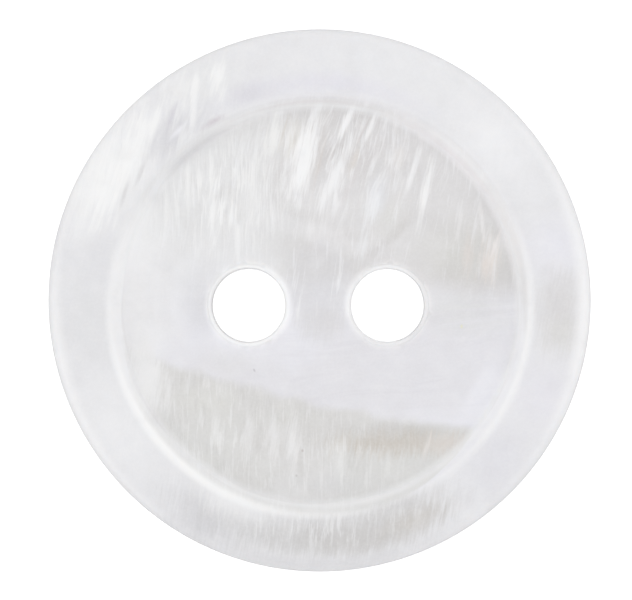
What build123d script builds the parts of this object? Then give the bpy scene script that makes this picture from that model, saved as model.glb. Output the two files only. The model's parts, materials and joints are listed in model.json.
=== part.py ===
"""Two-hole sew-on button, turned from one blank of mother-of-pearl.

The button is a single solid. It lies on its back, face up. A raised rim with a rounded crown runs round
a shallow dish, and two thread holes go through the floor of the dish. The back has a flat land that
rests on the cloth, and a low bevel that lifts the edge, so that a finger can get under the rim.

The blank is turned about the button's own axis. The dish is cut in a second chucking, whose centre is a
little off that axis, and the holes are drilled in a jig with an error of its own. Both are usual on a
turned shell button.

Frame: origin at the centre of the back land, +Z out of the face, +X from one thread hole to the other.
"""

import os

from build123d import *

# Driving dimensions, in millimetres and degrees. Button sizes go in lignes, 40 to the inch.
LIGNE = 25.4 / 40

outer_diameter = 24 * LIGNE
thickness = 2.4

# The back and the edge of the blank.
back_bevel_width = 2.1
back_bevel_rise = 0.42
back_bevel_bulge = 0.06
edge_bulge = 0.07
lower_edge_radius = 0.3
upper_edge_radius = 0.32

# The rim, from the outline to the foot of the dish's wall.
rim_width = 2.05
crown_radius = 2.8
crest_radius = 0.34

# The dish, measured down from the top of the crown.
second_chucking_y = -0.12
dish_depth = 0.5
dish_floor_sag = 0.08
dish_wall_lean = 38
dish_foot_radius = 0.14

# The thread holes. The drilling jig has its own small error, on top of the second chucking's.
drill_jig_x = -0.04
drill_jig_y = -0.02
hole_count = 2
hole_diameter = 2.05
hole_spacing = 3.9
hole_face_easing = 0.14
hole_back_easing = 0.1

# Places that follow from the dimensions. In the sections, r is the distance from the turning axis.
outer_radius = outer_diameter / 2
land_radius = outer_radius - back_bevel_width
edge_corner_r = outer_radius - edge_bulge
crown_centre = Vector(outer_radius - rim_width / 2, thickness - crown_radius)
floor_radius = outer_radius - rim_width
floor_rim_z = thickness - dish_depth
floor_centre = (0, floor_rim_z - dish_floor_sag)
floor_rim = (floor_radius, floor_rim_z)
clear_of_face = thickness + dish_depth
dish_plane = Plane(origin=(0, second_chucking_y, 0), x_dir=(0, 1, 0), z_dir=(1, 0, 0))
dish_axis = Axis(dish_plane.origin, (0, 0, 1))


def on_crown(r):
    """The point of the crown's arc at a distance r from the button's axis."""
    return Vector(r, crown_centre.Y + (crown_radius**2 - (r - crown_centre.X) ** 2) ** 0.5)


def bowed_line(start, end, bulge):
    """A shallow arc from start to end that bows out by bulge, to the right of the way it runs."""
    start, end = Vector(start), Vector(end)
    along = (end - start).normalized()
    return ThreePointArc(start, (start + end) / 2 + bulge * Vector(along.Y, -along.X), end)


with BuildPart() as button:
    # The turned blank: back land, back bevel, bowed edge, and the crown carried in past the dish's wall.
    with BuildSketch(Plane.YZ) as blank_section:
        land_end = (land_radius, 0)
        lower_corner = (edge_corner_r, back_bevel_rise)
        upper_corner = on_crown(edge_corner_r)
        crown_inner_end = on_crown(floor_radius - abs(second_chucking_y))
        with BuildLine():
            Line((0, 0), land_end)
            bowed_line(land_end, lower_corner, back_bevel_bulge)
            bowed_line(lower_corner, upper_corner, edge_bulge)
            ThreePointArc(upper_corner, on_crown(crown_centre.X), crown_inner_end)
            Polyline(crown_inner_end, (0, crown_inner_end.Y), (0, 0))
        make_face()
        edge_corners = blank_section.vertices().group_by(Axis.X)[-1].sort_by(Axis.Y)
        fillet(edge_corners[0], lower_edge_radius)
        fillet(edge_corners[-1], upper_edge_radius)
    revolve(axis=Axis.Z)

    # The dish: a shallow hollow floor, a small foot fillet and a leaning wall that runs out above the crown.
    with BuildSketch(dish_plane) as dish_section:
        with BuildLine():
            floor = TangentArc(floor_centre, floor_rim, tangent=(1, 0))
            wall = PolarLine(
                floor_rim, clear_of_face - floor_rim_z, 90 - dish_wall_lean, length_mode=LengthMode.VERTICAL
            )
            Polyline(wall @ 1, (0, clear_of_face), floor @ 0)
        make_face()
        foot_corner = dish_section.vertices().sort_by_distance(floor_rim)[0]
        fillet(foot_corner, dish_foot_radius)
    revolve(axis=dish_axis, mode=Mode.SUBTRACT)
    crest = button.edges(Select.LAST).filter_by(lambda edge: edge.is_closed).sort_by(Axis.Z)[-1]
    fillet(crest, crest_radius)

    # The thread holes, with their mouths eased so that they don't cut the thread.
    with Locations((drill_jig_x, second_chucking_y + drill_jig_y)):
        with GridLocations(hole_spacing, 0, hole_count, 1):
            Hole(hole_diameter / 2)
    mouths = button.edges(Select.LAST).filter_by(lambda edge: edge.is_closed).sort_by(Axis.Z)
    fillet(mouths[hole_count:], hole_face_easing)
    fillet(mouths[:hole_count], hole_back_easing)

os.makedirs("parts", exist_ok=True)
button.part.label = "button"
export_step(button.part, "parts/button.step")
print(f"button: {button.part.volume:.1f} mm3, {button.part.bounding_box().size}")
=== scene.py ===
# %% [markdown]
# # A sew-on button of mother-of-pearl
#
# This notebook rebuilds the looks of a two-hole shell button, 15 mm across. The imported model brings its
# size and its thread holes. Here the button is turned again as a fine mesh, drilled, chipped a little
# where real buttons are, and given a nacre finish that is painted by nodes alone.

import json
import math

import bpy
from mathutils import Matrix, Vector


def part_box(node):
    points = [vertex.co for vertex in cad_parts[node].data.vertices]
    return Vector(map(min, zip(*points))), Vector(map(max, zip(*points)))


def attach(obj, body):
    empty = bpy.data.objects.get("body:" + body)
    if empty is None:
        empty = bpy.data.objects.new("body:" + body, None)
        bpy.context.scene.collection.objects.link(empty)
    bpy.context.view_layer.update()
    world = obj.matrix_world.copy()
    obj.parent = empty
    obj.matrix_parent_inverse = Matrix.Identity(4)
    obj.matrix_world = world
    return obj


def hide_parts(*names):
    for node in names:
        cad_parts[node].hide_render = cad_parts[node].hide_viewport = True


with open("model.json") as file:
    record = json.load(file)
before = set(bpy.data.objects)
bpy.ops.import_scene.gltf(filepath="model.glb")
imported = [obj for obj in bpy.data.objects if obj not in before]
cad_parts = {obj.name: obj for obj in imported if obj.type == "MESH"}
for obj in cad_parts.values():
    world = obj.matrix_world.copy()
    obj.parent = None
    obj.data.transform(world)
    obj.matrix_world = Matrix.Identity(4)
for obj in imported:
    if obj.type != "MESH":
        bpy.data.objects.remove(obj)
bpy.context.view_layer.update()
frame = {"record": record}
MM = 0.001

low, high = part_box("button")
mounts = {mount["name"]: mount for mount in frame["record"]["mounts"]}
print("button, mm:", [round(size / MM, 3) for size in high - low], "mounts:", sorted(mounts))

# %% [markdown]
# ## Camera
#
# A button like this is photographed from straight above, with a long lens, so that its outline stays a true
# circle and the walls of the holes don't show. The camera looks down -Z, which is how a new camera points,
# so it needs no turning. The lens follows from the width of the view and the distance.

# %% The camera
VIEW_WIDTH = 17.68 * MM
VIEW_SHIFT = (-0.102 * MM, 0.012 * MM)
CAMERA_HEIGHT = 300 * MM

camera = bpy.data.objects.new("camera", bpy.data.cameras.new("camera"))
bpy.context.scene.collection.objects.link(camera)
camera.location = (*VIEW_SHIFT, high.z + CAMERA_HEIGHT)
camera.data.sensor_fit = "HORIZONTAL"
camera.data.lens = camera.data.sensor_width * CAMERA_HEIGHT / VIEW_WIDTH
bpy.context.scene.camera = camera
print("lens, mm:", round(camera.data.lens))

# %% [markdown]
# ## Turning the button
#
# A shell button is cut as a round blank and turned. So the mesh is turned as well: half of the
# cross-section is drawn as a chain of edges and spun about the axis. The middle of the back and of the
# dish stay open for now, because a spun disc would end in a pole, where hundreds of thin triangles meet
# and spoil the shine.
#
# The corners are left sharp in the section. The Bevel operator rounds them after the spin, which is quicker
# than drawing every arc, and gives even rings of faces.

# %% Sizes of the turned section
OUTER_RADIUS = (high.x - low.x) / 2
THICKNESS = high.z
BACK_BEVEL_WIDTH = 2.1 * MM
BACK_BEVEL_RISE = 0.42 * MM
BACK_BEVEL_BULGE = 0.06 * MM
EDGE_BULGE = 0.07 * MM
RIM_WIDTH = 2.05 * MM
CROWN_RADIUS = 2.8 * MM
DISH_DEPTH = 0.5 * MM
DISH_WALL_LEAN = math.radians(38)
DISH_SAG = 0.08 * MM
FILLED_MARGIN = 0.4 * MM
TURNS = 256

LAND_RADIUS = OUTER_RADIUS - BACK_BEVEL_WIDTH
CORNER_RADIUS = OUTER_RADIUS - EDGE_BULGE
FLOOR_RADIUS = OUTER_RADIUS - RIM_WIDTH
FLOOR_HEIGHT = THICKNESS - DISH_DEPTH
CROWN_MIDDLE = OUTER_RADIUS - RIM_WIDTH / 2


def crown_height(radius):
    """The height of the rim's crown at a distance from the axis."""
    drop = CROWN_RADIUS - math.sqrt(CROWN_RADIUS**2 - (radius - CROWN_MIDDLE) ** 2)
    return THICKNESS - drop


def crest_of_wall():
    """The distance from the axis where the leaning wall of the dish meets the crown."""
    radius = FLOOR_RADIUS
    for _ in range(20):
        radius = FLOOR_RADIUS + (crown_height(radius) - FLOOR_HEIGHT) * math.tan(DISH_WALL_LEAN)
    return radius


CREST_RADIUS = crest_of_wall()
CREST_HEIGHT = crown_height(CREST_RADIUS)
print("crest, mm:", round(CREST_RADIUS / MM, 3), round(CREST_HEIGHT / MM, 3))

# %% [markdown]
# A lathe makes the button from one section, so the section comes first. It is drawn with sharp corners,
# which are rounded later by their own radii.

# %% The section, as distances from the axis and heights
BOW_STEPS = 6
CROWN_STEPS = 8
CROWN_MARGIN = 0.42 * MM


def bowed(start, end, bulge):
    """The points between start and end of a line that bows out by the bulge, to the right of its way."""
    start, end = Vector(start), Vector(end)
    along = (end - start).normalized()
    outwards = Vector((along.y, -along.x))
    shares = [step / BOW_STEPS for step in range(1, BOW_STEPS)]
    return [start.lerp(end, share) + outwards * bulge * 4 * share * (1 - share) for share in shares]


land_end = (LAND_RADIUS, 0)
lower_corner = (CORNER_RADIUS, BACK_BEVEL_RISE)
upper_corner = (CORNER_RADIUS, crown_height(CORNER_RADIUS))
crest = (CREST_RADIUS, CREST_HEIGHT)
floor_rim = (FLOOR_RADIUS, FLOOR_HEIGHT)

crown_outside = CORNER_RADIUS - CROWN_MARGIN
crown_inside = CREST_RADIUS + CROWN_MARGIN
crown_width = crown_outside - crown_inside
crown = [crown_outside - crown_width * step / (CROWN_STEPS - 1) for step in range(CROWN_STEPS)]

section = [(LAND_RADIUS - FILLED_MARGIN, 0), land_end]
section += bowed(land_end, lower_corner, BACK_BEVEL_BULGE) + [lower_corner]
section += bowed(lower_corner, upper_corner, EDGE_BULGE) + [upper_corner]
section += [(radius, crown_height(radius)) for radius in crown]
section += [crest, floor_rim, (FLOOR_RADIUS - FILLED_MARGIN, FLOOR_HEIGHT)]
print("points in the section:", len(section))


# %% [markdown]
# These select vertices by where they are, so that no step depends on how the vertices are numbered.

# %% Helpers for working in edit mode
def start_piece(name):
    """Deselects everything and starts a mesh with one vertex at the origin, left in edit mode."""
    bpy.ops.object.select_all(action="DESELECT")
    bpy.ops.mesh.primitive_plane_add(size=MM)
    piece = bpy.context.object
    piece.name = name
    piece.data.name = name
    bpy.ops.object.mode_set(mode="EDIT")
    bpy.ops.mesh.select_mode(type="VERT")
    bpy.ops.mesh.merge(type="CENTER")
    return piece


def turn(name, outline, centre=(0, 0), turns=TURNS):
    """A piece turned on the lathe: draws the outline as a chain of edges and spins it about its centre."""
    piece = start_piece(name)
    here = Vector((0, 0, 0))
    for index, (radius, height) in enumerate(outline):
        there = Vector((centre[0] + radius, centre[1], height))
        if index == 0:
            bpy.ops.transform.translate(value=there - here)
        else:
            bpy.ops.mesh.extrude_vertices_move(TRANSFORM_OT_translate={"value": there - here})
        here = there
    bpy.ops.mesh.select_all(action="SELECT")
    bpy.ops.mesh.spin(steps=turns, angle=math.tau, center=(*centre, 0), axis=(0, 0, 1))
    bpy.ops.mesh.select_all(action="SELECT")
    bpy.ops.mesh.remove_doubles(threshold=MM / 10000)
    bpy.ops.mesh.normals_make_consistent(inside=False)
    return piece


def select_where(piece, test):
    """In edit mode, selects the vertices whose place passes the test, and says how many there are."""
    bpy.ops.mesh.select_all(action="DESELECT")
    bpy.ops.object.mode_set(mode="OBJECT")
    for vertex in piece.data.vertices:
        vertex.select = test(vertex.co)
    found = sum(vertex.select for vertex in piece.data.vertices)
    bpy.ops.object.mode_set(mode="EDIT")
    return found


def on_ring(radius, height, slack=0.02 * MM):
    """A test for the places on one ring about the axis."""
    return lambda place: abs(math.hypot(place.x, place.y) - radius) + abs(place.z - height) < slack


# %% [markdown]
# Spinning the section about the button's axis is what the lathe does, and it closes its own seam.

# %% Spin the blank
button = turn("button_nacre", section)
print("faces after the spin:", len(button.data.polygons))

# %% [markdown]
# The corners are rounded now, each with its own fillet radius. A bevel's offset is measured along the
# faces, so it is the fillet's radius times the tangent of half the angle that the section turns by at
# that corner.

# %% Round the corners
CORNERS = [
    # ring, fillet radius, segments
    (land_end, 2.0 * MM, 4),
    (lower_corner, 0.3 * MM, 7),
    (upper_corner, 0.32 * MM, 8),
    (crest, 0.34 * MM, 8),
    (floor_rim, 0.14 * MM, 5),
]
for ring, fillet, segments in CORNERS:
    index = section.index(ring)
    before, after = Vector(section[index - 1]), Vector(section[index + 1])
    turned = (Vector(ring) - before).angle(after - Vector(ring))
    offset = fillet * math.tan(turned / 2)
    found = select_where(button, on_ring(*ring))
    bpy.ops.mesh.bevel(offset=offset, segments=segments, profile=0.5, affect="EDGES", clamp_overlap=False)
    turned_degrees = round(math.degrees(turned))
    print(found, "vertices, turned by", turned_degrees, "degrees, offset, mm:", round(offset / MM, 3))

# %% [markdown]
# ## The second chucking
#
# On the real lathe the blank is turned round to cut the dish, and it never sits quite true again. The
# dish and the holes are a little off the rim's centre, so the rim is wider on one side. Proportional
# editing does the same to the mesh: the dish is pushed over, and the crown beside it follows, less and
# less.

# %% Push the dish over
SECOND_CHUCKING_Y = -0.12 * MM

found = select_where(
    button, lambda place: math.hypot(place.x, place.y) < CREST_RADIUS and place.z > THICKNESS / 2
)
bpy.ops.transform.translate(
    value=(0, SECOND_CHUCKING_Y, 0),
    use_proportional_edit=True,
    use_proportional_connected=True,
    proportional_edit_falloff="SMOOTH",
    proportional_size=CROWN_MIDDLE - CREST_RADIUS,
)
print("vertices pushed over in full:", found)

# %% [markdown]
# ## Closing the dish and the back
#
# Each open ring gets a grid fill, which makes even, square faces with no pole in the middle. Then the
# floor of the dish is sunk a little: proportional editing with the inverse-square falloff moves a disc of
# vertices into a parabola, and that is what a shallow dish is.


# %% Fill and sink
def fill_ring(radius, height, centre_y=0.0):
    """Closes the open ring at that place with a grid of faces, and leaves the new faces selected."""
    ring = on_ring(radius, height)
    select_where(button, lambda place: ring(Vector((place.x, place.y - centre_y, place.z))))
    bpy.ops.mesh.fill_grid(span=TURNS // 4)


fill_ring(LAND_RADIUS - FILLED_MARGIN, 0)
fill_ring(FLOOR_RADIUS - FILLED_MARGIN, FLOOR_HEIGHT, SECOND_CHUCKING_Y)
bpy.ops.mesh.hide(unselected=True)
select_where(
    button,
    lambda place: abs(place.x) + abs(place.y - SECOND_CHUCKING_Y) < 0.01 * MM and place.z > THICKNESS / 2,
)
bpy.ops.transform.translate(
    value=(0, 0, -DISH_SAG),
    use_proportional_edit=True,
    proportional_edit_falloff="INVERSE_SQUARE",
    proportional_size=FLOOR_RADIUS - FILLED_MARGIN,
)
bpy.ops.mesh.reveal(select=False)
bpy.ops.mesh.select_all(action="SELECT")
bpy.ops.mesh.normals_make_consistent(inside=False)
bpy.ops.object.mode_set(mode="OBJECT")
inside = [v.co.z for v in button.data.vertices if v.co.xy.length < FLOOR_RADIUS and v.co.z > THICKNESS / 2]
print("lowest point of the dish, mm:", round(min(inside) / MM, 3))

# %% [markdown]
# ## Drilling the thread holes
#
# Each hole is cut by its own drill with the Boolean modifier. The drill is turned like the button, and
# its section flares at both ends by a quarter of a circle. So the hole comes out with eased mouths, which
# are there on a real button because a sharp mouth would cut the thread. The ring of the mouth is shaken a
# little before the cut, as shell chips under a drill.

# %% The drills
FACE_EASING = 0.14 * MM
BACK_EASING = 0.1 * MM
EASING_STEPS = 6
EASING_END = math.radians(84)
DRILL_TURNS = 96


def flare(radius, easing, height, direction):
    """The quarter circle that widens a hole at its mouth, from the wall outwards."""
    points = []
    for step in range(EASING_STEPS + 1):
        angle = EASING_END * step / EASING_STEPS
        widening = easing * (1 - math.cos(angle))
        points.append((radius + widening, height - direction * easing * (1 - math.sin(angle))))
    return points


def drill(mount, seed):
    """Cuts one thread hole, at the mount's place and radius."""
    x, y, _ = mount["pos_m"]
    radius = mount["dims"]["r_mm"] * MM
    from_middle = math.hypot(x, y - SECOND_CHUCKING_Y) / FLOOR_RADIUS
    mouth = FLOOR_HEIGHT - DISH_SAG * (1 - from_middle**2)
    back_flare = flare(radius, BACK_EASING, 0, -1)
    face_flare = flare(radius, FACE_EASING, mouth, 1)
    outline = [(back_flare[-1][0], -MM), *back_flare[::-1], *face_flare, (face_flare[-1][0], THICKNESS + MM)]
    cutter = turn("drill", outline, centre=(x, y), turns=DRILL_TURNS)
    for end in (-MM, THICKNESS + MM):
        select_where(cutter, lambda place: abs(place.z - end) < 0.01 * MM)
        bpy.ops.mesh.edge_face_add()
    select_where(cutter, lambda place: mouth - FACE_EASING < place.z < mouth)
    bpy.ops.transform.vertex_random(offset=0.003 * MM, uniform=0.5, seed=seed)
    bpy.ops.mesh.select_all(action="SELECT")
    bpy.ops.mesh.normals_make_consistent(inside=False)
    bpy.ops.object.mode_set(mode="OBJECT")
    cut(button, cutter)


def cut(piece, cutter):
    """Takes the cutter out of the piece and removes the cutter."""
    bpy.ops.object.select_all(action="DESELECT")
    bpy.context.view_layer.objects.active = piece
    modifier = piece.modifiers.new("cut", "BOOLEAN")
    modifier.operation = "DIFFERENCE"
    modifier.solver = "EXACT"
    modifier.object = cutter
    bpy.ops.object.modifier_apply(modifier="cut")
    bpy.data.objects.remove(cutter)
    print("faces after the cut:", len(piece.data.polygons))


drill(mounts["thread_hole_left"], seed=3)
drill(mounts["thread_hole_right"], seed=8)

# %% [markdown]
# Turned and polished faces are smooth, so the whole mesh is shaded smooth. The check counts open edges,
# because a solid thing has none.

# %% Smooth shading, and a check that the mesh is closed
import bmesh

bpy.ops.object.select_all(action="DESELECT")
button.select_set(True)
bpy.context.view_layer.objects.active = button
bpy.ops.object.shade_smooth()
checked = bmesh.new()
checked.from_mesh(button.data)
open_edges = sum(not edge.is_manifold for edge in checked.edges)
print("open edges:", open_edges, "volume:", checked.calc_volume() / MM**3)
print("triangles:", sum(len(face.verts) - 2 for face in checked.faces))
checked.free()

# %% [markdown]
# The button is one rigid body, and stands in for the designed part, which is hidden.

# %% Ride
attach(button, "root")
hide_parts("button")

# %% [markdown]
# ## Nacre
#
# Mother-of-pearl grows in thin layers, nearly flat in the blank but a little tilted. Turning cuts through
# them, so each zone of the pattern is a layer that comes to the surface. A picture of the pattern could
# be wrapped on, but it would smear over the walls and the edge. So the pattern is made in three
# dimensions, from Object coordinates in millimetres, and every surface shows its own cut through it.
#
# It has five parts, and each is a node group that is built once and placed many times: a layer's edge,
# fibres, a tuft, an arc on the rim, and the thin laminae that stripe the edge. Helpers come first,
# because a node and its links take several lines by hand.


# %% Helpers for node trees
def plug(tree, value, socket):
    """Links a socket to the value if that is an output, and otherwise writes the value into it."""
    if isinstance(value, bpy.types.NodeSocket):
        tree.links.new(value, socket)
    else:
        socket.default_value = value


def compute(tree, operation, *values):
    """A maths node."""
    node = tree.nodes.new("ShaderNodeMath")
    node.operation = operation
    for value, socket in zip(values, node.inputs):
        plug(tree, value, socket)
    return node.outputs[0]


def step_up(tree, value, start, end):
    """A smooth step from 0 to 1 as the value goes from start to end."""
    node = tree.nodes.new("ShaderNodeMapRange")
    node.interpolation_type = "SMOOTHSTEP"
    for name, number in (("Value", value), ("From Min", start), ("From Max", end)):
        plug(tree, number, node.inputs[name])
    return node.outputs[0]


def split(tree, vector):
    """The three parts of a vector."""
    node = tree.nodes.new("ShaderNodeSeparateXYZ")
    plug(tree, vector, node.inputs[0])
    return node.outputs


def combine(tree, *parts):
    """A vector from its parts."""
    node = tree.nodes.new("ShaderNodeCombineXYZ")
    for value, socket in zip(parts, node.inputs):
        plug(tree, value, socket)
    return node.outputs[0]


def subtract(tree, vector, other):
    """One vector less another."""
    node = tree.nodes.new("ShaderNodeVectorMath")
    node.operation = "SUBTRACT"
    plug(tree, vector, node.inputs[0])
    plug(tree, other, node.inputs[1])
    return node.outputs[0]


def hypotenuse(tree, first, second):
    """The square root of the sum of two squares."""
    squares = compute(tree, "MULTIPLY_ADD", first, first, compute(tree, "POWER", second, 2.0))
    return compute(tree, "SQRT", squares)


def noise(tree, vector, scale=1.0, detail=2.0, roughness=0.5):
    """Noise with features one unit across, divided by the scale, as a value around 0.5."""
    node = tree.nodes.new("ShaderNodeTexNoise")
    plug(tree, vector, node.inputs["Vector"])
    for name, number in (("Scale", scale), ("Detail", detail), ("Roughness", roughness)):
        plug(tree, number, node.inputs[name])
    return node.outputs["Fac"]


def new_group(name, **inputs):
    """An empty node group with one output, Mask. Its inputs are given with their defaults."""
    tree = bpy.data.node_groups.new(name, "ShaderNodeTree")
    for label, default in inputs.items():
        kind = "NodeSocketVector" if isinstance(default, tuple) else "NodeSocketFloat"
        tree.interface.new_socket(label, in_out="INPUT", socket_type=kind).default_value = default
    tree.interface.new_socket("Mask", in_out="OUTPUT", socket_type="NodeSocketFloat")
    return tree, tree.nodes.new("NodeGroupInput").outputs, tree.nodes.new("NodeGroupOutput").inputs["Mask"]


def use_group(tree, group, **values):
    """Places a group in a tree with its own values, and returns its mask."""
    node = tree.nodes.new("ShaderNodeGroup")
    node.node_tree = group
    for label, value in values.items():
        plug(tree, value, node.inputs[label])
    return node.outputs["Mask"]


# %% [markdown]
# **A growth layer** is a plane that leans, bows and waves a little. The mask is 1 above its line and 0
# below. Level is where it crosses the middle of the dish, Lean tilts its line, Bow bends it, and Slant is
# how far it moves along Y for each millimetre that the surface rises. Deep in the blank the layers lie
# flat, so the slant stops there.

# %% The group for a growth layer
DEEPEST_SLANT = -0.6

group, given, mask = new_group(
    "growth_layer", Place=(0, 0, 0), Level=0.0, Lean=0.0, Bow=0.0, Slant=0.0, Wave=0.2, Softness=0.2
)
x, y, z = split(group, given["Place"])
rise = compute(group, "MAXIMUM", compute(group, "SUBTRACT", z, FLOOR_HEIGHT / MM), DEEPEST_SLANT)
swell = compute(group, "SUBTRACT", noise(group, given["Place"], 1.1, 3.0), 0.5)
line = compute(group, "MULTIPLY_ADD", x, given["Lean"], y)
line = compute(group, "MULTIPLY_ADD", compute(group, "MULTIPLY", x, x), given["Bow"], line)
line = compute(group, "MULTIPLY_ADD", rise, given["Slant"], line)
line = compute(group, "MULTIPLY_ADD", swell, given["Wave"], line)
above = compute(group, "SUBTRACT", line, given["Level"])
lower = compute(group, "MULTIPLY", given["Softness"], -1.0)
plug(group, step_up(group, above, lower, given["Softness"]), mask)
growth_layer = group

# %% [markdown]
# **Fibres** are noise that is squeezed across and stretched along. They lean by Lean millimetres sideways
# for each millimetre up, and a slow second noise bends them, because grown fibres are never ruled lines.
# From and To say how much of the noise becomes fibre.

# %% The group for fibres
SWAY_ALONG = 0.45

group, given, mask = new_group(
    "fibres", Place=(0, 0, 0), Lean=0.0, Bend=0.3, Width=0.1, Length=1.0, From=0.5, To=0.7
)
x, y, z = split(group, given["Place"])
calm = combine(group, x, compute(group, "MULTIPLY", y, SWAY_ALONG), compute(group, "MULTIPLY", z, SWAY_ALONG))
sway = compute(group, "SUBTRACT", noise(group, calm, 0.8, 1.0), 0.5)
upright = compute(group, "SUBTRACT", x, compute(group, "MULTIPLY", y, given["Lean"]))
upright = compute(group, "MULTIPLY_ADD", sway, given["Bend"], upright)
across = compute(group, "DIVIDE", upright, given["Width"])
along = compute(group, "DIVIDE", y, given["Length"])
deep = compute(group, "DIVIDE", z, given["Length"])
grain = noise(group, combine(group, across, along, deep), 1.0, 3.5, 0.62)
plug(group, step_up(group, grain, given["From"], given["To"]), mask)
fibres = group

# %% [markdown]
# ** A tuft** is one bundle of fibres, or one soft blush of colour, at a given place. It is an
# ellipse that leans as the fibres do. Streaks takes a noise from outside, and Fray says how far that
# noise breaks up the ellipse. The noise comes from outside so that fifty tufts can share one.
#
# The centre is taken off x and off y as two plain numbers, and not off the place as one vector. The
# renderer has room for 255 numbers in a material. With vectors this material was too big and came out
# black, and with plain numbers it uses 189.

# %% The group for a tuft
group, given, mask = new_group(
    "tuft",
    Place=(0, 0, 0),
    Centre=(0, 0, 0),
    Width=0.5,
    Length=1.0,
    Lean=0.0,
    Streaks=0.5,
    Fray=0.5,
    Softness=0.5,
)
x, y, z = split(group, given["Place"])
centre_x, centre_y, _ = split(group, given["Centre"])
from_x = compute(group, "SUBTRACT", x, centre_x)
from_y = compute(group, "SUBTRACT", y, centre_y)
upright = compute(group, "MULTIPLY_ADD", from_y, compute(group, "MULTIPLY", given["Lean"], -1.0), from_x)
across = compute(group, "DIVIDE", upright, given["Width"])
along = compute(group, "DIVIDE", from_y, given["Length"])
fray = compute(group, "SUBTRACT", given["Streaks"], 0.5)
frayed = compute(group, "MULTIPLY_ADD", fray, given["Fray"], hypotenuse(group, across, along))
inner = compute(group, "SUBTRACT", 1.0, given["Softness"])
plug(group, compute(group, "SUBTRACT", 1.0, step_up(group, frayed, inner, 1.0)), mask)
tuft = group

# %% [markdown]
# ** An arc** is a tuft that is bent round the button. Where the crown of the rim cuts a tilted layer, the
# layer shows as a curved patch, and that is how the rim is patterned. An arc with a very wide Spread is a
# whole ring, such as the painted highlight along the crest of the wall. Direction and Spread are angles
# about the centre.

# %% The group for an arc
group, given, mask = new_group(
    "arc",
    Place=(0, 0, 0),
    Centre=(0, 0, 0),
    Direction=0.0,
    Spread=1.0,
    Radius=5.0,
    Width=0.3,
    Streaks=0.5,
    Fray=0.0,
    Softness=1.0,
)
x, y, z = split(group, subtract(group, given["Place"], given["Centre"]))
bearing = compute(group, "SUBTRACT", compute(group, "ARCTAN2", y, x), given["Direction"])
along = compute(group, "DIVIDE", compute(group, "WRAP", bearing, math.pi, -math.pi), given["Spread"])
across = compute(group, "SUBTRACT", hypotenuse(group, x, y), given["Radius"])
across = compute(group, "DIVIDE", across, given["Width"])
fray = compute(group, "SUBTRACT", given["Streaks"], 0.5)
frayed = compute(group, "MULTIPLY_ADD", fray, given["Fray"], hypotenuse(group, across, along))
inner = compute(group, "SUBTRACT", 1.0, given["Softness"])
plug(group, compute(group, "SUBTRACT", 1.0, step_up(group, frayed, inner, 1.0)), mask)
arc = group

# %% [markdown]
# **Laminae** are the thin flat layers themselves. The mask depends mostly on height, so it is calm on the
# flat floor, bands the crown in wide curves, and stripes the edge finely, as on a real shell button seen
# sideways.

# %% The group for laminae
LAMINA_STRETCH = 0.16
LAMINA_WOBBLE = 0.3

group, given, mask = new_group("laminae", Place=(0, 0, 0), Thickness=0.1, From=0.4, To=0.6)
x, y, z = split(group, given["Place"])
wobble = compute(group, "SUBTRACT", noise(group, given["Place"], 0.3, 1.0), 0.5)
wavy = compute(group, "MULTIPLY_ADD", wobble, LAMINA_WOBBLE, z)
layers = combine(
    group,
    compute(group, "MULTIPLY", x, LAMINA_STRETCH),
    compute(group, "MULTIPLY", y, LAMINA_STRETCH),
    compute(group, "DIVIDE", wavy, given["Thickness"]),
)
plug(group, step_up(group, noise(group, layers, 1.0, 2.0), given["From"], given["To"]), mask)
laminae = group
print("groups:", sorted(tree.name for tree in bpy.data.node_groups))

# %% [markdown]
# ## The nacre material
#
# All the colours are pale and close together, so they are written as the numbers that a screen shows,
# from 0 to 255, and turned into the linear values that a shader needs. The pattern is painted in layers,
# as a painter would lay glazes: each call puts one colour over what is there, where a mask allows it.


# %% Start the material
def shade(red, green, blue):
    """A linear colour from screen values of 0 to 255."""
    return (*(((value / 255 + 0.055) / 1.055) ** 2.4 for value in (red, green, blue)), 1)


nacre = bpy.data.materials.new("nacre")
nacre.use_nodes = True
tree = nacre.node_tree
shader = tree.nodes["Principled BSDF"]
coordinates = tree.nodes.new("ShaderNodeTexCoord")


def placed(turn_by=0.0):
    """Object coordinates in millimetres, turned about Z by an angle in degrees."""
    node = tree.nodes.new("ShaderNodeMapping")
    node.inputs["Scale"].default_value = (1 / MM, 1 / MM, 1 / MM)
    node.inputs["Rotation"].default_value = (0, 0, math.radians(turn_by))
    tree.links.new(coordinates.outputs["Object"], node.inputs["Vector"])
    return node.outputs["Vector"]


place = placed()
lying_place = placed(turn_by=84)
x, y, z = split(tree, place)


def paint(under, colour, mask, strength=1.0):
    """Lays a colour over what is under it, where the mask is, and returns the result."""
    share = compute(tree, "MULTIPLY", mask, strength)
    mix = tree.nodes.new("ShaderNodeMix")
    mix.data_type = "RGBA"
    plug(tree, share, mix.inputs["Factor"])
    plug(tree, under, mix.inputs["A"])
    plug(tree, colour, mix.inputs["B"])
    return mix.outputs["Result"]


def layer(**values):
    """The mask of a growth layer: 1 above its line and 0 below."""
    return use_group(tree, growth_layer, Place=place, **values)


def fibre_mask(at=None, **values):
    """The mask of a set of fibres, upright unless another place is given."""
    return use_group(tree, fibres, Place=at or place, **values)


def times(first, second):
    """Where both masks are."""
    return compute(tree, "MULTIPLY", first, second)


def without(mask):
    """Where the mask is not."""
    return compute(tree, "SUBTRACT", 1.0, mask)


# %% [markdown]
# The shared noises: one upright, with streaks about a tenth of a millimetre wide, to fray the tufts, and
# one that leans, for the rim's upper left, where the fibres lean to the right.

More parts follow.
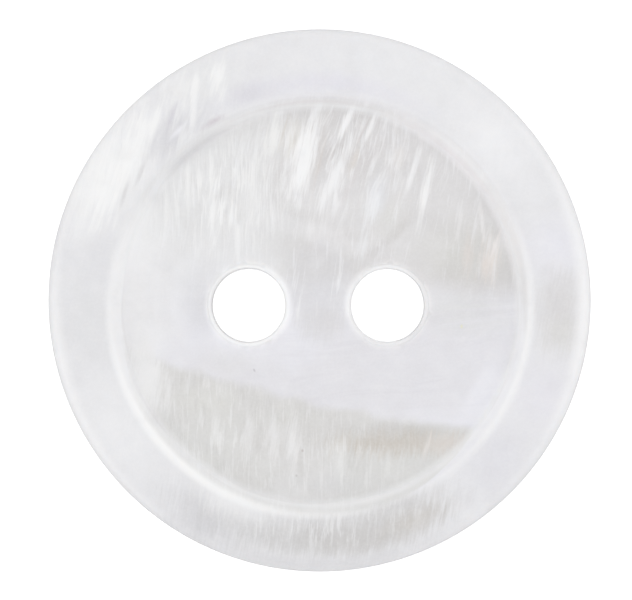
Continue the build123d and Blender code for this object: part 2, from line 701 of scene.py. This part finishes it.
# %% Streaks that fray the tufts
def streaks(lean, width, length):
    """Noise stretched along the fibres, as a plain value."""
    upright = compute(tree, "SUBTRACT", x, compute(tree, "MULTIPLY", y, lean))
    across = compute(tree, "DIVIDE", upright, width)
    return noise(tree, combine(tree, across, compute(tree, "DIVIDE", y, length), z), 1.0, 3.0, 0.6)


upright_streaks = streaks(0.2, 0.07, 0.8)
leaning_streaks = streaks(0.3, 0.09, 0.9)


def paint_tufts(under, tufts, noise_value):
    """Paints tufts: centre x and y, half width, half length, lean, fray, softness, colour, strength."""
    for at_x, at_y, width, length, lean, fray, softness, colour, strength in tufts:
        mask = use_group(
            tree,
            tuft,
            Place=place,
            Centre=(at_x, at_y, 0),
            Width=width,
            Length=length,
            Lean=lean,
            Streaks=noise_value,
            Fray=fray,
            Softness=softness,
        )
        under = paint(under, shade(*colour), mask, strength)
    return under


def paint_arcs(under, arcs, noise_value, softness=1.0):
    """Paints arcs: direction and half spread in degrees, radius, half width, fray, colour, strength."""
    for direction, spread, radius, width, fray, colour, strength in arcs:
        mask = use_group(
            tree,
            arc,
            Place=place,
            Direction=math.radians(direction),
            Spread=math.radians(spread),
            Radius=radius,
            Width=width,
            Streaks=noise_value,
            Fray=fray,
            Softness=softness,
        )
        under = paint(under, shade(*colour), mask, strength)
    return under


# %% [markdown]
# ### The lavender zone across the middle
#
# Here the surface runs almost along one layer, so it is smooth and has only faint lines that lie along
# it. It is greyer and paler towards the left.

# %% Lavender zone
lavender = paint_tufts(
    shade(231, 230.8, 236),
    [
        (-5.2, -0.4, 2.0, 2.6, 0, 0, 1.0, (238, 238, 240), 1.0),
        (-3.3, 0.0, 0.9, 1.5, 0, 0, 1.0, (214, 213.5, 219), 1.0),
        (4.1, -0.3, 2.2, 1.0, 0, 0, 1.0, (224, 225, 226), 0.9),
        (-2.6, -1.8, 1.3, 0.7, 0, 0, 1.0, (229, 229, 231), 0.6),
    ],
    upright_streaks,
)
lying_light = fibre_mask(lying_place, Width=0.13, Length=2.6, Bend=0.8, From=0.5, To=0.68)
lying_dark = fibre_mask(lying_place, Width=0.2, Length=3.4, Bend=0.6, From=0.48, To=0.3)
left_part = step_up(tree, compute(tree, "MULTIPLY", x, -1.0), 0.5, 3.0)
lined = without(compute(tree, "MULTIPLY", left_part, 0.85))
lavender = paint(lavender, shade(233, 233, 238), times(lying_light, lined), 0.6)
lavender = paint(lavender, shade(221, 220, 226), times(lying_dark, lined), 0.35)

# %% [markdown]
# ### The fibrous zone in the upper half
#
# The layers come up steeply here, and their ends show as upright fibres: pale ones over a mauve ground,
# with tufts that catch the light near the top, and blushes of olive and orange at the right.

# %% Fibrous zone
leftness = compute(tree, "MULTIPLY", x, -1.0)
grey_side = step_up(tree, leftness, -0.6, 2.4)
fibrous = paint(shade(210, 208, 208), shade(227, 227, 227.5), grey_side)
fibrous = paint_tufts(
    fibrous,
    [
        (-5.4, 1.0, 1.6, 2.6, 0, 0, 1.0, (243, 243, 244), 1.0),
        (3.9, 1.3, 2.0, 1.5, 0, 0.3, 1.0, (213, 212.5, 208.5), 0.9),
        (1.9, 2.3, 0.9, 0.9, 0, 0.4, 1.0, (210, 209, 205), 0.7),
        (4.15, 1.3, 0.22, 0.9, 0.05, 1.4, 1.0, (223, 217, 212.5), 0.9),
        (4.75, 1.1, 0.42, 0.9, 0.1, 1.6, 1.0, (227, 220, 215), 1.0),
        (5.4, 1.8, 0.5, 1.9, -0.3, 0.8, 1.0, (223, 220, 220), 0.9),
        (0.95, 3.9, 0.22, 0.6, 0.35, 1.4, 1.0, (219, 213, 208), 0.7),
        (2.2, 4.0, 0.2, 0.4, 0.1, 1.2, 1.0, (219, 213, 207), 0.7),
        (1.6, 2.9, 0.45, 0.9, 0.15, 0.8, 1.0, (221, 223, 228), 0.8),
        (-0.75, 4.5, 0.5, 0.9, 0.1, 0.8, 1.0, (225, 222, 215), 0.6),
    ],
    upright_streaks,
)
middle = use_group(
    tree, tuft, Place=place, Centre=(0.6, 4.2, 0), Width=4.2, Length=3.6, Softness=1.0, Fray=0.0
)
dark_fibres = fibre_mask(Lean=0.22, Bend=0.55, Width=0.15, Length=1.1, From=0.48, To=0.68)
fine_fibres = fibre_mask(Lean=0.12, Bend=0.5, Width=0.1, Length=1.2, From=0.52, To=0.72)
pale_fibres = fibre_mask(Lean=0.24, Bend=0.6, Width=0.26, Length=1.6, From=0.5, To=0.7)
thin_dark = fibre_mask(Lean=0.24, Bend=0.5, Width=0.07, Length=0.7, From=0.52, To=0.7)
thin_pale = fibre_mask(Lean=0.26, Bend=0.5, Width=0.06, Length=0.8, From=0.54, To=0.7)
fibrous = paint(fibrous, shade(208, 204, 204), times(dark_fibres, middle), 0.6)
fibrous = paint(fibrous, shade(203, 199, 199), times(thin_dark, middle), 0.6)
fibrous = paint(fibrous, shade(245, 245, 246), times(thin_pale, middle), 0.55)
fibrous = paint(fibrous, shade(238, 238, 240), fine_fibres, 0.5)
left_middle = use_group(
    tree, tuft, Place=place, Centre=(-2.7, 2.9, 0), Width=2.8, Length=2.8, Softness=1.0, Fray=0.0
)
left_pale = fibre_mask(Lean=0.03, Bend=0.35, Width=0.085, Length=1.0, From=0.48, To=0.64)
left_dark = fibre_mask(Lean=0.02, Bend=0.35, Width=0.07, Length=0.9, From=0.5, To=0.66)
fibrous = paint(fibrous, shade(217, 216, 216), times(left_dark, left_middle), 0.75)
fibrous = paint(fibrous, shade(243, 243, 243), times(left_pale, left_middle), 0.8)
fibrous = paint(fibrous, shade(243, 243, 244), times(pale_fibres, middle), 0.8)
fibrous = paint_tufts(
    fibrous,
    [
        (-0.05, 3.95, 0.12, 1.6, 0.22, 1.0, 0.9, (210, 206, 204), 0.6),
        (0.9, 3.3, 0.14, 1.5, 0.45, 1.4, 0.9, (210, 206, 206), 0.6),
        (-0.42, 4.0, 0.46, 1.75, 0.22, 1.5, 0.8, (244, 244, 244.5), 0.95),
        (0.02, 3.9, 0.06, 1.3, 0.24, 0.9, 0.9, (211, 206, 203), 0.7),
        (-1.02, 4.7, 0.05, 0.7, 0.3, 0.9, 0.9, (213, 208, 202), 0.6),
        (1.15, 4.6, 0.06, 0.9, 0.5, 0.9, 0.9, (209, 204, 203), 0.7),
        (-1.3, 4.6, 0.28, 0.95, 0.2, 1.6, 0.9, (240, 240, 239), 0.9),
        (0.35, 3.3, 0.34, 1.6, 0.42, 1.9, 0.9, (239, 239, 240), 0.9),
        (0.75, 5.0, 0.16, 0.7, 0.4, 1.4, 0.8, (245, 245, 246), 0.9),
        (1.45, 4.9, 0.12, 0.6, 0.4, 1.4, 0.8, (242, 242, 243), 0.85),
        (0.1, 1.5, 0.75, 1.6, 0.08, 2.2, 1.0, (225, 223, 223.5), 0.6),
        (-1.9, 2.8, 0.3, 1.3, 0.08, 2.0, 1.0, (235, 235, 235), 0.5),
        (2.95, 3.0, 0.2, 1.4, 0.2, 1.6, 0.9, (239, 239, 239), 0.95),
        (2.6, 3.6, 0.13, 1.1, 0.3, 1.4, 0.9, (238, 238, 239), 0.85),
        (1.45, 2.6, 0.3, 0.9, 0.25, 2.0, 1.0, (233, 234, 236), 0.75),
        (1.2, 1.5, 0.2, 0.8, 0.1, 2.0, 1.0, (230, 231, 233), 0.7),
        (-3.0, 2.6, 0.2, 1.6, 0.0, 1.8, 0.9, (241, 241, 241), 0.8),
        (-3.7, 3.3, 0.12, 1.2, 0.0, 1.5, 0.9, (240, 240, 240), 0.75),
        (-4.9, 2.3, 0.3, 1.4, 0.0, 1.5, 1.0, (237, 237, 237), 0.7),
        (-2.3, 1.6, 0.12, 1.1, -0.04, 1.6, 0.9, (239, 239, 239), 0.7),
        (-4.3, 2.6, 0.12, 1.0, 0.0, 1.6, 0.9, (239, 239, 239), 0.6),
        (4.55, 2.2, 0.1, 0.8, -0.1, 1.4, 0.9, (234, 232, 232), 0.7),
        (4.9, 1.5, 0.1, 0.7, 0.35, 1.4, 0.9, (236, 231, 229), 0.7),
        (3.9, 2.1, 0.1, 0.7, 0.15, 1.4, 0.9, (232, 231, 231), 0.7),
    ],
    upright_streaks,
)
print("nodes so far:", len(tree.nodes))

# %% [markdown]
# ### The olive zone at the bottom of the dish
#
# Another layer surfaces here with a crisp edge. It is darkest just below that edge, olive to
# orange-brown, and fine fibres run down it, brightest at the far left.

# %% Olive zone
olive = paint_tufts(
    shade(216.5, 216, 214.5),
    [
        (2.2, -3.7, 2.8, 0.5, 0, 0.2, 1.0, (202, 200.5, 198), 1.0),
        (-3.3, -2.8, 1.3, 0.7, 0, 0.3, 1.0, (219, 219, 215), 0.8),
        (-1.2, -3.3, 1.8, 0.5, 0, 0.6, 1.0, (213, 213, 210), 0.8),
        (2.0, -4.0, 2.8, 0.55, -0.1, 1.4, 1.0, (200, 194, 186), 0.95),
        (3.5, -4.0, 1.0, 0.45, 0, 1.2, 1.0, (217, 211, 206), 0.8),
        (0.2, -5.1, 2.2, 0.6, 0, 0.2, 1.0, (213, 213, 213), 0.9),
    ],
    upright_streaks,
)
hanging = fibre_mask(Lean=0.02, Bend=0.2, Width=0.1, Length=0.9, From=0.5, To=0.66)
hanging_dark = fibre_mask(Lean=0.03, Width=0.14, Length=0.8, From=0.5, To=0.66)
olive = paint(olive, shade(206, 205, 203), times(hanging_dark, step_up(tree, leftness, -3.5, 0.0)), 0.5)
olive = paint(olive, shade(234, 234, 234), times(hanging, step_up(tree, leftness, -4.0, 0.5)), 0.6)
olive = paint_tufts(
    olive,
    [
        (-4.8, -2.3, 0.75, 1.3, 0, 0.9, 0.9, (239, 239, 239), 1.0),
        (-4.25, -2.7, 0.14, 0.8, 0, 1.2, 0.9, (236, 236, 236), 0.8),
        (-0.75, -4.0, 0.24, 1.2, 0.03, 1.8, 0.9, (238, 238, 238), 0.9),
        (-1.3, -3.9, 0.2, 1.0, 0.03, 1.8, 0.9, (235, 235, 235), 0.8),
        (-2.0, -3.7, 0.24, 1.0, 0.0, 1.6, 0.9, (233, 233, 233), 0.7),
        (-2.9, -3.6, 0.16, 0.9, 0.0, 1.6, 0.9, (233, 233, 232), 0.6),
        (0.6, -4.5, 0.14, 0.7, 0.05, 1.6, 0.9, (228, 228, 227), 0.6),
        (1.9, -4.6, 0.12, 0.6, 0.1, 1.6, 0.9, (227, 227, 226), 0.6),
        (3.0, -4.1, 0.1, 0.5, 0.3, 1.6, 0.9, (228, 224, 221), 0.7),
    ],
    upright_streaks,
)

# %% [markdown]
# Three zones meet in the dish, each at a layer that comes to the surface, so each is laid over the one
# below it by that layer's mask. The upper boundary is crisp on the right and fades out on the left. The
# four specks are small flaws in the shell. They are laid as colour only, though the dark ones would be
# shallow dents.

# %% Put the dish together
olive_edge = layer(Level=-3.22, Lean=0.2, Bow=-0.03, Slant=5.0, Wave=0.5, Softness=0.16)
crisp_edge = layer(Level=0.2, Lean=0.0, Slant=3.5, Wave=0.5, Softness=0.45)
soft_edge = layer(Level=0.2, Lean=0.0, Slant=3.5, Wave=0.5, Softness=2.2)
softened = compute(tree, "SUBTRACT", soft_edge, crisp_edge)
fibre_edge = compute(tree, "MULTIPLY_ADD", softened, left_part, crisp_edge)
colour = paint(olive, lavender, olive_edge)
colour = paint(colour, fibrous, fibre_edge)
between = use_group(
    tree, tuft, Place=place, Centre=(0, 0.3, 0), Width=1.2, Length=1.8, Streaks=upright_streaks, Fray=0.5,
)
colour = paint(colour, shade(214, 213, 215), between, 0.65)
colour = paint(colour, shade(236, 236, 238), times(between, fine_fibres), 0.75)
colour = paint_tufts(
    colour,
    [
        (-5.0, -1.7, 0.75, 1.5, 0, 0.9, 1.0, (238, 238, 238.5), 1.0),
        (-1.83, -1.96, 0.045, 0.07, -0.4, 0, 0.8, (190, 188, 195), 0.8),
        (-0.48, -4.21, 0.05, 0.06, 0, 0, 0.8, (176, 163, 157), 0.8),
        (-0.65, -4.91, 0.05, 0.05, 0, 0, 0.8, (184, 182, 180), 0.8),
        (3.98, -0.73, 0.05, 0.08, 0, 0, 0.8, (232, 230, 200), 0.9),
    ],
    upright_streaks,
)

# %% [markdown]
# ### The rim
#
# The crown rises through more layers, so the rim has its own patches. They follow its curve: a calm
# lavender grey at the upper right, bright leaning streaks at the upper left, and dark brownish bands at
# the bottom. Some of its arcs are painted light instead: painted shade on the crest at the upper left, a
# painted highlight beside the crest at the lower left, and painted highlights and shade on the outer
# shoulder.

# %% The rim's pattern
rim = paint_arcs(
    shade(227.5, 227.3, 229.5),
    [
        (65, 55, 6.8, 2.2, 0.3, (230, 230, 232), 1.0),
        (88, 42, 6.1, 0.5, 0.3, (226, 225, 231), 0.9),
        (42, 18, 6.6, 1.4, 0.3, (236, 236, 238), 0.9),
        (186, 22, 6.6, 1.4, 0.6, (223, 223, 225), 1.0),
        (212, 20, 6.7, 1.6, 0.4, (232, 232, 234), 1.0),
        (242, 15, 6.8, 1.5, 0.8, (209, 208.5, 211.5), 0.9),
        (270, 44, 6.65, 1.0, 0.9, (203, 202, 202), 1.0),
        (290, 18, 6.3, 0.6, 0.8, (205, 204, 204), 0.9),
        (283, 30, 6.8, 0.6, 0.8, (202, 200, 199), 0.8),
        (293, 12, 6.7, 0.45, 0.6, (203, 200, 197), 0.9),
        (318, 16, 6.7, 1.4, 0.4, (223, 222.5, 227), 1.0),
        (337, 14, 6.8, 1.4, 0.3, (227, 226, 231), 1.0),
        (13, 12, 6.8, 1.4, 0.3, (229, 228.5, 234), 1.0),
        # Painted shade, tinted mauve, on the crest at the upper left.
        (121, 5.5, 5.8, 0.16, 0.6, (200, 193, 199), 0.9),
    ],
    upright_streaks,
)
rim = paint_arcs(
    rim,
    [
        (357, 14, 6.72, 1.15, 0.7, (217, 215.5, 216.5), 1.0),
        (352, 7, 6.8, 0.7, 1.2, (214, 213, 210), 0.5),
        (2, 7, 6.8, 0.7, 1.2, (213, 211, 212), 0.5),
        (7, 3.5, 6.4, 0.3, 0.8, (224, 223, 226), 0.7),
    ],
    upright_streaks,
)
upper_left = use_group(
    tree, arc, Place=place, Direction=math.radians(136), Spread=math.radians(38), Radius=6.7, Width=2.6,
    Streaks=leaning_streaks, Fray=0.6,
)
rim = paint_arcs(
    rim,
    [
        (149, 22, 6.9, 1.5, 0.7, (237, 237.5, 238), 1.0),
        (118, 13, 7.0, 1.1, 0.8, (227, 227, 228), 1.0),
        (131, 14, 6.2, 0.7, 0.9, (214, 213.5, 217), 1.0),
        (169, 10, 6.2, 1.0, 1.2, (221, 221, 224), 0.6),
        (151, 19, 7.1, 0.75, 0.8, (240, 240, 240), 0.7),
        (123, 8, 7.1, 0.7, 1.0, (237, 237, 237), 0.6),
        (110, 13, 6.15, 0.5, 0.5, (219, 218, 223.5), 0.9),
    ],
    leaning_streaks,
)
leaning_fibres = fibre_mask(Lean=0.14, Bend=0.9, Width=0.24, Length=1.6, From=0.44, To=0.72)
leaning_dark = fibre_mask(Lean=0.16, Bend=0.9, Width=0.17, Length=1.4, From=0.5, To=0.76)
rim = paint(rim, shade(215, 215, 218), times(leaning_dark, upper_left), 0.6)
rim = paint(rim, shade(241, 241, 241), times(leaning_fibres, upper_left), 0.7)
rim = paint_tufts(
    rim,
    [
        (-5.3, 4.1, 0.55, 1.4, 0.3, 1.4, 1.0, (243, 243, 243), 0.8),
        (-6.0, 3.0, 0.5, 1.3, 0.12, 1.5, 1.0, (243, 243, 243), 0.8),
        (-4.7, 4.95, 0.3, 0.9, 0.5, 1.6, 0.9, (241, 241, 241), 0.8),
        (-2.85, 6.25, 0.3, 0.8, 0.05, 1.6, 1.0, (242, 242, 242), 0.85),
        (-3.5, 5.9, 0.16, 0.7, 0.1, 1.6, 0.8, (241, 241, 241), 0.8),
        (-3.55, 5.2, 0.14, 0.6, 0.1, 1.2, 0.8, (240, 240, 241), 0.8),
        (-3.95, 4.75, 0.16, 0.4, 0.9, 0.8, 1.0, (236, 236, 240), 0.8),
        (-4.15, 5.15, 0.12, 0.6, 0.35, 1.0, 0.9, (207, 205, 211), 0.7),
        (-5.0, 3.6, 0.1, 0.6, 0.4, 1.2, 0.9, (214, 213, 214), 0.7),
        (-5.45, 3.0, 0.1, 0.6, 0.3, 1.2, 0.9, (214, 213, 214), 0.7),
    ],
    leaning_streaks,
)
lower_fibres = fibre_mask(Lean=0.04, Bend=0.2, Width=0.09, Length=0.7, From=0.5, To=0.68)
# A painted highlight on the rim beside the crest at the lower left, broken into streaks like the fibres.
by_the_crest = use_group(
    tree, arc, Place=place, Direction=math.radians(246), Spread=math.radians(17), Radius=6.15, Width=0.7,
    Streaks=upright_streaks, Fray=1.6,
)
lower_part = use_group(
    tree, arc, Place=place, Direction=math.radians(266), Spread=math.radians(50), Radius=6.4, Width=1.1
)
rim = paint(rim, shade(236, 236, 237), by_the_crest, 0.7)
rim = paint(rim, shade(231, 231, 232), times(lower_fibres, lower_part), 0.75)
# Painted highlights on the outer shoulder at the right and the left, and painted shade on it at the bottom.
rim = paint_arcs(
    rim,
    [
        (270, 44, 7.4, 0.3, 0.3, (215, 214.5, 217), 1.0),
        (0, 55, 7.45, 0.4, 0.2, (243, 243, 244), 0.8),
        (195, 45, 7.45, 0.35, 0.2, (240, 240, 241), 0.7),
    ],
    upright_streaks,
)

# %% [markdown]
# The crest of the dish's wall and the mouths of the holes are painted pale: these are painted highlights,
# for the light that the rounded crest and the eased mouths catch. The wall and its foot are painted lighter,
# against the shade that the dish puts there, and the top and upper left of the wall get painted shade. The
# rings are centred on the dish's own axis, because the crest belongs to the second chucking and not to the
# outline.

# %% Put the rim on the dish, and the crest between them
DISH_CENTRE = (0, SECOND_CHUCKING_Y / MM, 0)
WHOLE_RING = 1000.0

from_dish_axis = subtract(tree, place, DISH_CENTRE)
dish_x, dish_y, _ = split(tree, from_dish_axis)
dish_reach = hypotenuse(tree, dish_x, dish_y)
on_rim = step_up(tree, dish_reach, CREST_RADIUS / MM - 0.16, CREST_RADIUS / MM + 0.1)
colour = paint(colour, rim, on_rim)


def dish_ring(radius, width, direction=0.0, spread=WHOLE_RING):
    """A soft ring, or a part of one, about the dish's own centre."""
    return use_group(
        tree,
        arc,
        Place=place,
        Centre=DISH_CENTRE,
        Direction=math.radians(direction),
        Spread=math.radians(spread),
        Radius=radius,
        Width=width,
    )


# Painted highlights on the crest, strongest at the lower left and the right and weaker at the top; painted
# light on the whole foot of the wall, pinkish and stronger at the upper right; painted shade on the wall at
# the top and the upper left.
colour = paint(colour, shade(247, 247, 247), dish_ring(5.87, 0.26, 225, 75), 0.95)
colour = paint(colour, shade(242, 242, 243), dish_ring(5.87, 0.24, 345, 70), 0.85)
colour = paint(colour, shade(233, 232, 236), dish_ring(5.84, 0.2, 85, 50), 0.6)
colour = paint(colour, shade(244, 244, 245), dish_ring(5.62, 0.24), 0.7)
colour = paint(colour, shade(237, 233, 235), dish_ring(5.62, 0.22, 48, 34), 0.7)
colour = paint(colour, shade(221, 216, 218), dish_ring(5.7, 0.07, 95, 32), 0.45)
colour = paint(colour, shade(212, 211, 213), dish_ring(5.6, 0.26, 130, 18), 0.75)
colour = paint(colour, shade(243, 242, 243), dish_ring(5.78, 0.16, 45, 40), 0.8)
# Painted highlights round the eased mouths of the thread holes.
for name in mounts:
    if mounts[name]["kind"] == "bore":
        at_x, at_y, _ = mounts[name]["pos_m"]
        radius = mounts[name]["dims"]["r_mm"]
        mouth_highlight = use_group(
            tree,
            arc,
            Place=place,
            Centre=(at_x / MM, at_y / MM, 0),
            Spread=WHOLE_RING,
            Radius=radius,
            Width=0.28,
        )
        colour = paint(colour, shade(250, 250, 251), mouth_highlight, 0.9)

# %% [markdown]
# The edge of a shell button shows its laminae as thin stripes, so they are laid on by height, below the
# face. The roughness is kept above about 0.3, because lower values gave hard-edged blotches, and why they
# did was not found out. Light goes a little way into nacre, which is what the subsurface settings are
# for.

# %% Fine grain, the back, and the finish
laminae_light = use_group(tree, laminae, Place=place, Thickness=0.09, From=0.5, To=0.66)
laminae_dark = use_group(tree, laminae, Place=place, Thickness=0.14, From=0.5, To=0.36)
below = without(step_up(tree, z, 1.5, 2.25))
colour = paint(colour, shade(244, 244, 246), times(laminae_light, below), 0.5)
colour = paint(colour, shade(208, 205, 205), times(laminae_dark, below), 0.5)
grain = noise(tree, place, 14.0, 2.0, 0.5)
colour = paint(colour, shade(248, 248, 249), step_up(tree, grain, 0.3, 0.75), 0.1)
cloud = noise(tree, place, 1.6, 3.0, 0.6)
colour = paint(colour, shade(248, 248, 249), step_up(tree, cloud, 0.45, 0.75), 0.12)
colour = paint(colour, shade(208, 207, 209), step_up(tree, cloud, 0.5, 0.25), 0.12)

bump = tree.nodes.new("ShaderNodeBump")
BUMP_STRENGTH = 0.04
TURNING_MARKS_PER_MM = 16.0
ROUGHNESS_SPREAD = 0.12
LEAST_ROUGHNESS = 0.28

bump.inputs["Strength"].default_value = BUMP_STRENGTH
bump.inputs["Distance"].default_value = 0.02 * MM
rings = combine(tree, compute(tree, "MULTIPLY", dish_reach, TURNING_MARKS_PER_MM), 0.0, 0.0)
turning_marks = noise(tree, rings, 1.0, 2.0)
plug(tree, compute(tree, "MULTIPLY_ADD", grain, 0.3, turning_marks), bump.inputs["Height"])
plug(tree, bump.outputs[0], shader.inputs["Normal"])
roughness = compute(tree, "MULTIPLY_ADD", cloud, ROUGHNESS_SPREAD, LEAST_ROUGHNESS)
plug(tree, roughness, shader.inputs["Roughness"])
plug(tree, colour, shader.inputs["Base Color"])
shader.inputs["Subsurface Weight"].default_value = 0.6
shader.inputs["Subsurface Radius"].default_value = (1.0, 0.95, 0.9)
shader.inputs["Subsurface Scale"].default_value = 0.35 * MM
button.data.materials.append(nacre)
print("nodes in the nacre:", len(tree.nodes))


# %% [markdown]
# A plain pale floor and soft light from all round, with one large faint lamp above. The floor and the
# backdrop are lit white for the camera only, so that they do not bleach the button.

# %% Stage
def light_rays_and_camera_rays(tree, for_light, for_camera):
    """Mixes two shaders: the first is what lights the scene, the second is what the camera sees."""
    path = tree.nodes.new("ShaderNodeLightPath")
    mix = tree.nodes.new("ShaderNodeMixShader")
    tree.links.new(path.outputs["Is Camera Ray"], mix.inputs["Fac"])
    tree.links.new(for_light, mix.inputs[1])
    tree.links.new(for_camera, mix.inputs[2])
    return mix.outputs[0]


bpy.ops.mesh.primitive_plane_add(size=1.2)
floor = bpy.context.object
floor.name = "floor"
floor_finish = bpy.data.materials.new("floor")
floor_finish.use_nodes = True
tree = floor_finish.node_tree
paper = tree.nodes["Principled BSDF"]
paper.inputs["Base Color"].default_value = (0.75, 0.75, 0.75, 1)
paper.inputs["Roughness"].default_value = 0.9
glow = tree.nodes.new("ShaderNodeEmission")
glow.inputs["Strength"].default_value = 0.8
both = tree.nodes.new("ShaderNodeAddShader")
tree.links.new(paper.outputs[0], both.inputs[0])
tree.links.new(glow.outputs[0], both.inputs[1])
surface = light_rays_and_camera_rays(tree, paper.outputs[0], both.outputs[0])
tree.links.new(surface, tree.nodes["Material Output"].inputs["Surface"])
floor.data.materials.append(floor_finish)

world = bpy.data.worlds.new("studio")
bpy.context.scene.world = world
world.use_nodes = True
tree = world.node_tree
dome = tree.nodes["Background"]
LOW_SKY = 1.12
HIGH_SKY = 0.92
HIGH_SKY_STARTS = 0.8

direction = tree.nodes.new("ShaderNodeTexCoord")
height = split(tree, direction.outputs["Generated"])[2]
share = step_up(tree, height, 0.0, HIGH_SKY_STARTS)
plug(tree, compute(tree, "MULTIPLY_ADD", share, HIGH_SKY - LOW_SKY, LOW_SKY), dome.inputs["Strength"])
backdrop = tree.nodes.new("ShaderNodeBackground")
for light in (dome, backdrop):
    light.inputs["Color"].default_value = (1, 1, 1, 1)
surface = light_rays_and_camera_rays(tree, dome.outputs[0], backdrop.outputs[0])
tree.links.new(surface, tree.nodes["World Output"].inputs["Surface"])

key = bpy.data.objects.new("key", bpy.data.lights.new("key", "AREA"))
bpy.context.scene.collection.objects.link(key)
key.data.size = 0.3
key.data.energy = 0.1
key.location = (-0.02, 0.05, 0.34)
key.rotation_euler = (Vector((0, 0, 0)) - key.location).to_track_quat("-Z", "Y").to_euler()
bpy.context.scene.view_settings.view_transform = "Standard"
